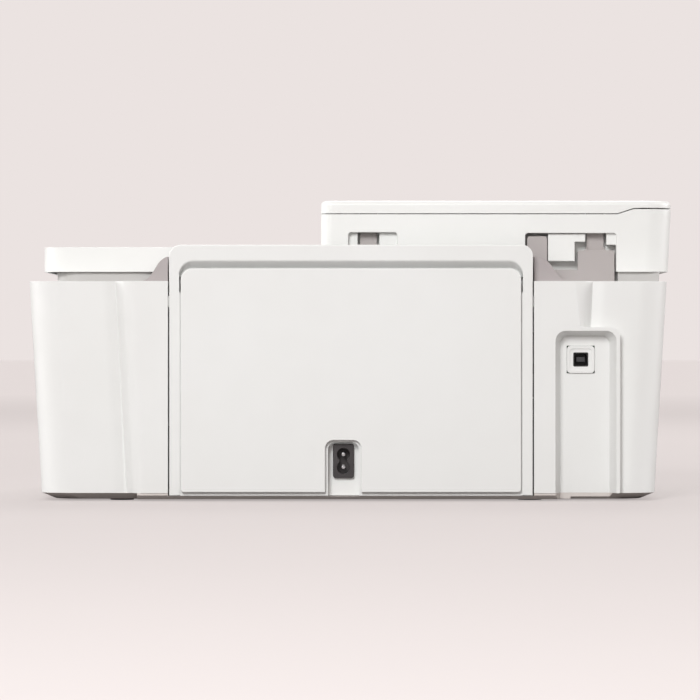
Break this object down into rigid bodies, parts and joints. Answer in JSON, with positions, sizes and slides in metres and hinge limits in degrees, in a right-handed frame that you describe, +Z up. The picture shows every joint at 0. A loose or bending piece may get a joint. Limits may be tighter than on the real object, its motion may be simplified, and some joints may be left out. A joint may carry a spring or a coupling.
{
  "type": "inkjet printer",
  "caption": "Ink-tank inkjet printer and flatbed scanner with rear paper hopper, lifting lids, sliding trays, moving carriage, driven rollers and press buttons.",
  "frame": {"origin": "on the table, under the middle of the printer's bounding box", "axes": "+X to the user's right when facing the front, +Y towards the back, +Z up"},
  "size_m": [0.4356, 0.361, 0.2024],
  "materials": {
    "casing_white": "fine matt texture",
    "scanner_white": "fine matt texture",
    "neck_grey": "fine matt texture",
    "pan_grey": "fine matt texture",
    "mauve_plastic": "satin",
    "dark_grey": "satin",
    "tray_grey": "satin",
    "black_plastic": "satin",
    "panel_dark": "gloss",
    "button_grey": "soft satin",
    "display_glass": "polished",
    "bed_glass": "polished",
    "window_clear": "clear polycarbonate",
    "tank_clear": "translucent",
    "pad_white": "film over foam",
    "steel": "ground",
    "galvanised": "zinc plated sheet",
    "screw_steel": "black zinc",
    "port_steel": "nickel",
    "motor_can": "drawn can",
    "brass": "machined",
    "gear_white": "acetal",
    "head_grey": "satin",
    "latch_blue": "satin",
    "board_green": "solder mask",
    "belt_rubber": "ribbed",
    "rubber_dark": "ground rubber",
    "rubber_grey": "moulded rubber",
    "cap_grey": "moulded",
    "cap_cyan": "moulded",
    "cap_magenta": "moulded",
    "cap_yellow": "moulded"
  },
  "bodies": {
    "chassis": {"base_pan": "pan_grey", "main_casing": "casing_white", "rubber_feet": "rubber_grey", "case_screws": "screw_steel", "neck_frame": "neck_grey", "scanner_base": "scanner_white", "scanner_glass": "bed_glass", "scan_rail": "steel", "lid_hinge_posts": "mauve_plastic", "hinge_boss": "scanner_white", "hinge_guide": "mauve_plastic", "deck_cover": "scanner_white", "tank_tray": "dark_grey", "ink_tanks": "tank_clear", "control_panel": "panel_dark", "display": "display_glass", "sight_window": "window_clear", "rear_tray_frame": "casing_white", "hopper_cheeks": "mauve_plastic", "paper_ramp": "dark_grey", "side_plates": "galvanised", "feed_motor": "motor_can", "carriage_rail": "galvanised", "drive_belt": "belt_rubber", "carriage_motor": "motor_can", "platen": "black_plastic", "service_station": "dark_grey", "power_supply": "black_plastic", "power_inlet": "black_plastic", "usb_port": "port_steel", "main_board": "board_green"},
    "lid": {"scanner_lid": "scanner_white", "lid_pad": "pad_white", "lid_hinge_pins": "steel"},
    "scan_bar": {"scan_bar": "black_plastic"},
    "tank_lid": {"tank_lid": "scanner_white"},
    "front_door": {"front_door": "casing_white"},
    "output_tray": {"output_tray": "tray_grey"},
    "output_extender": {"output_extender": "tray_grey"},
    "paper_support": {"paper_support": "casing_white"},
    "guide_left": {"width_guide_left": "tray_grey"},
    "guide_right": {"width_guide_right": "tray_grey"},
    "carriage": {"carriage": "black_plastic", "printheads": "head_grey"},
    "head_latch": {"head_latch": "latch_blue"},
    "motor_pulley": {"motor_pulley": "gear_white"},
    "belt_idler": {"belt_idler": "gear_white"},
    "feed_roller": {"feed_roller": "rubber_dark"},
    "exit_roller": {"exit_roller": "rubber_dark"},
    "idler_gear": {"idler_gear": "gear_white"},
    "feed_pinion": {"feed_pinion": "brass"},
    "pickup_roller": {"pickup_roller": "rubber_dark"},
    "cap_black": {"cap_black": "cap_grey"},
    "cap_cyan": {"cap_cyan": "cap_cyan"},
    "cap_magenta": {"cap_magenta": "cap_magenta"},
    "cap_yellow": {"cap_yellow": "cap_yellow"},
    "button_power": {"button_power": "button_grey"},
    "button_cancel": {"button_cancel": "button_grey"},
    "button_copy": {"button_copy": "button_grey"},
    "button_wireless": {"button_wireless": "button_grey"}
  },
  "joints": [
    {"name": "lid_hinge", "type": "hinge", "parent": "chassis", "child": "lid", "pos_m": [0, 0.1475, 0.1993], "axis": [-1, 0, 0], "range_deg": [0, 80]},
    {"name": "scan_travel", "type": "slide", "parent": "chassis", "child": "scan_bar", "axis": [0, 1, 0], "range_m": [0, 0.245]},
    {"name": "tank_lid_hinge", "type": "hinge", "parent": "chassis", "child": "tank_lid", "pos_m": [0.16, 0.038, 0.1682], "axis": [-1, 0, 0], "range_deg": [0, 75]},
    {"name": "door_hinge", "type": "hinge", "parent": "chassis", "child": "front_door", "pos_m": [0, -0.1765, 0.0866], "axis": [1, 0, 0], "range_deg": [0, 88]},
    {"name": "output_tray_slide", "type": "slide", "parent": "chassis", "child": "output_tray", "axis": [0, -1, 0], "range_m": [0, 0.11]},
    {"name": "extender_slide", "type": "slide", "parent": "output_tray", "child": "output_extender", "axis": [0, -1, 0], "range_m": [0, 0.09]},
    {"name": "paper_support_lift", "type": "slide", "parent": "chassis", "child": "paper_support", "axis": [0, 0, 1], "range_m": [0, 0.1]},
    {"name": "guide_left_slide", "type": "slide", "parent": "chassis", "child": "guide_left", "axis": [-1, 0, 0], "range_m": [0, 0.05]},
    {"name": "guide_right_slide", "type": "slide", "parent": "chassis", "child": "guide_right", "axis": [1, 0, 0], "range_m": [0, 0.05]},
    {"name": "carriage_travel", "type": "slide", "parent": "chassis", "child": "carriage", "axis": [1, 0, 0], "range_m": [0, 0.226]},
    {"name": "latch_hinge", "type": "hinge", "parent": "carriage", "child": "head_latch", "pos_m": [-0.1405, 0.0245, 0.1223], "axis": [-1, 0, 0], "range_deg": [0, 30]},
    {"name": "motor_pulley_spin", "type": "hinge", "parent": "chassis", "child": "motor_pulley", "pos_m": [-0.158, 0.055, 0.111], "axis": [0, 0, 1], "continuous": true},
    {"name": "belt_idler_spin", "type": "hinge", "parent": "chassis", "child": "belt_idler", "pos_m": [0.106, 0.055, 0.111], "axis": [0, 0, 1], "continuous": true},
    {"name": "feed_spin", "type": "hinge", "parent": "chassis", "child": "feed_roller", "pos_m": [0, 0.05, 0.056], "axis": [1, 0, 0], "continuous": true},
    {"name": "exit_spin", "type": "hinge", "parent": "chassis", "child": "exit_roller", "pos_m": [0, -0.046, 0.056], "axis": [1, 0, 0], "continuous": true},
    {"name": "idler_spin", "type": "hinge", "parent": "chassis", "child": "idler_gear", "pos_m": [-0.177, 0.002, 0.056], "axis": [1, 0, 0], "continuous": true},
    {"name": "pinion_spin", "type": "hinge", "parent": "chassis", "child": "feed_pinion", "pos_m": [-0.177, 0.08, 0.056], "axis": [1, 0, 0], "continuous": true},
    {"name": "pickup_spin", "type": "hinge", "parent": "chassis", "child": "pickup_roller", "pos_m": [0, 0.128, 0.082], "axis": [1, 0, 0], "continuous": true},
    {"name": "cap_black_hinge", "type": "hinge", "parent": "chassis", "child": "cap_black", "pos_m": [0.1305, 0.013, 0.1395], "axis": [-1, 0, 0], "range_deg": [0, 95]},
    {"name": "cap_cyan_hinge", "type": "hinge", "parent": "chassis", "child": "cap_cyan", "pos_m": [0.1489, 0.013, 0.1395], "axis": [-1, 0, 0], "range_deg": [0, 95]},
    {"name": "cap_magenta_hinge", "type": "hinge", "parent": "chassis", "child": "cap_magenta", "pos_m": [0.1673, 0.013, 0.1395], "axis": [-1, 0, 0], "range_deg": [0, 95]},
    {"name": "cap_yellow_hinge", "type": "hinge", "parent": "chassis", "child": "cap_yellow", "pos_m": [0.1857, 0.013, 0.1395], "axis": [-1, 0, 0], "range_deg": [0, 95]},
    {"name": "button_power_press", "type": "slide", "parent": "chassis", "child": "button_power", "axis": [0, 0, -1], "range_m": [0, 0.001], "stiffness_N_per_m": 300, "springref_m": -0.0012},
    {"name": "button_cancel_press", "type": "slide", "parent": "chassis", "child": "button_cancel", "axis": [0, 0, -1], "range_m": [0, 0.001], "stiffness_N_per_m": 300, "springref_m": -0.0012},
    {"name": "button_copy_press", "type": "slide", "parent": "chassis", "child": "button_copy", "axis": [0, 0, -1], "range_m": [0, 0.001], "stiffness_N_per_m": 300, "springref_m": -0.0012},
    {"name": "button_wireless_press", "type": "slide", "parent": "chassis", "child": "button_wireless", "axis": [0, 0, -1], "range_m": [0, 0.001], "stiffness_N_per_m": 300, "springref_m": -0.0012}
  ],
  "couplings": [
    {"joint": "guide_right_slide", "follows": "guide_left_slide", "ratio": 1},
    {"joint": "motor_pulley_spin", "follows": "carriage_travel", "rad_per_m": 166.67},
    {"joint": "belt_idler_spin", "follows": "carriage_travel", "rad_per_m": 166.67},
    {"joint": "exit_spin", "follows": "feed_spin", "ratio": 1},
    {"joint": "idler_spin", "follows": "feed_spin", "ratio": -1},
    {"joint": "pinion_spin", "follows": "feed_spin", "ratio": -4},
    {"joint": "pickup_spin", "follows": "feed_spin", "ratio": 1}
  ]
}
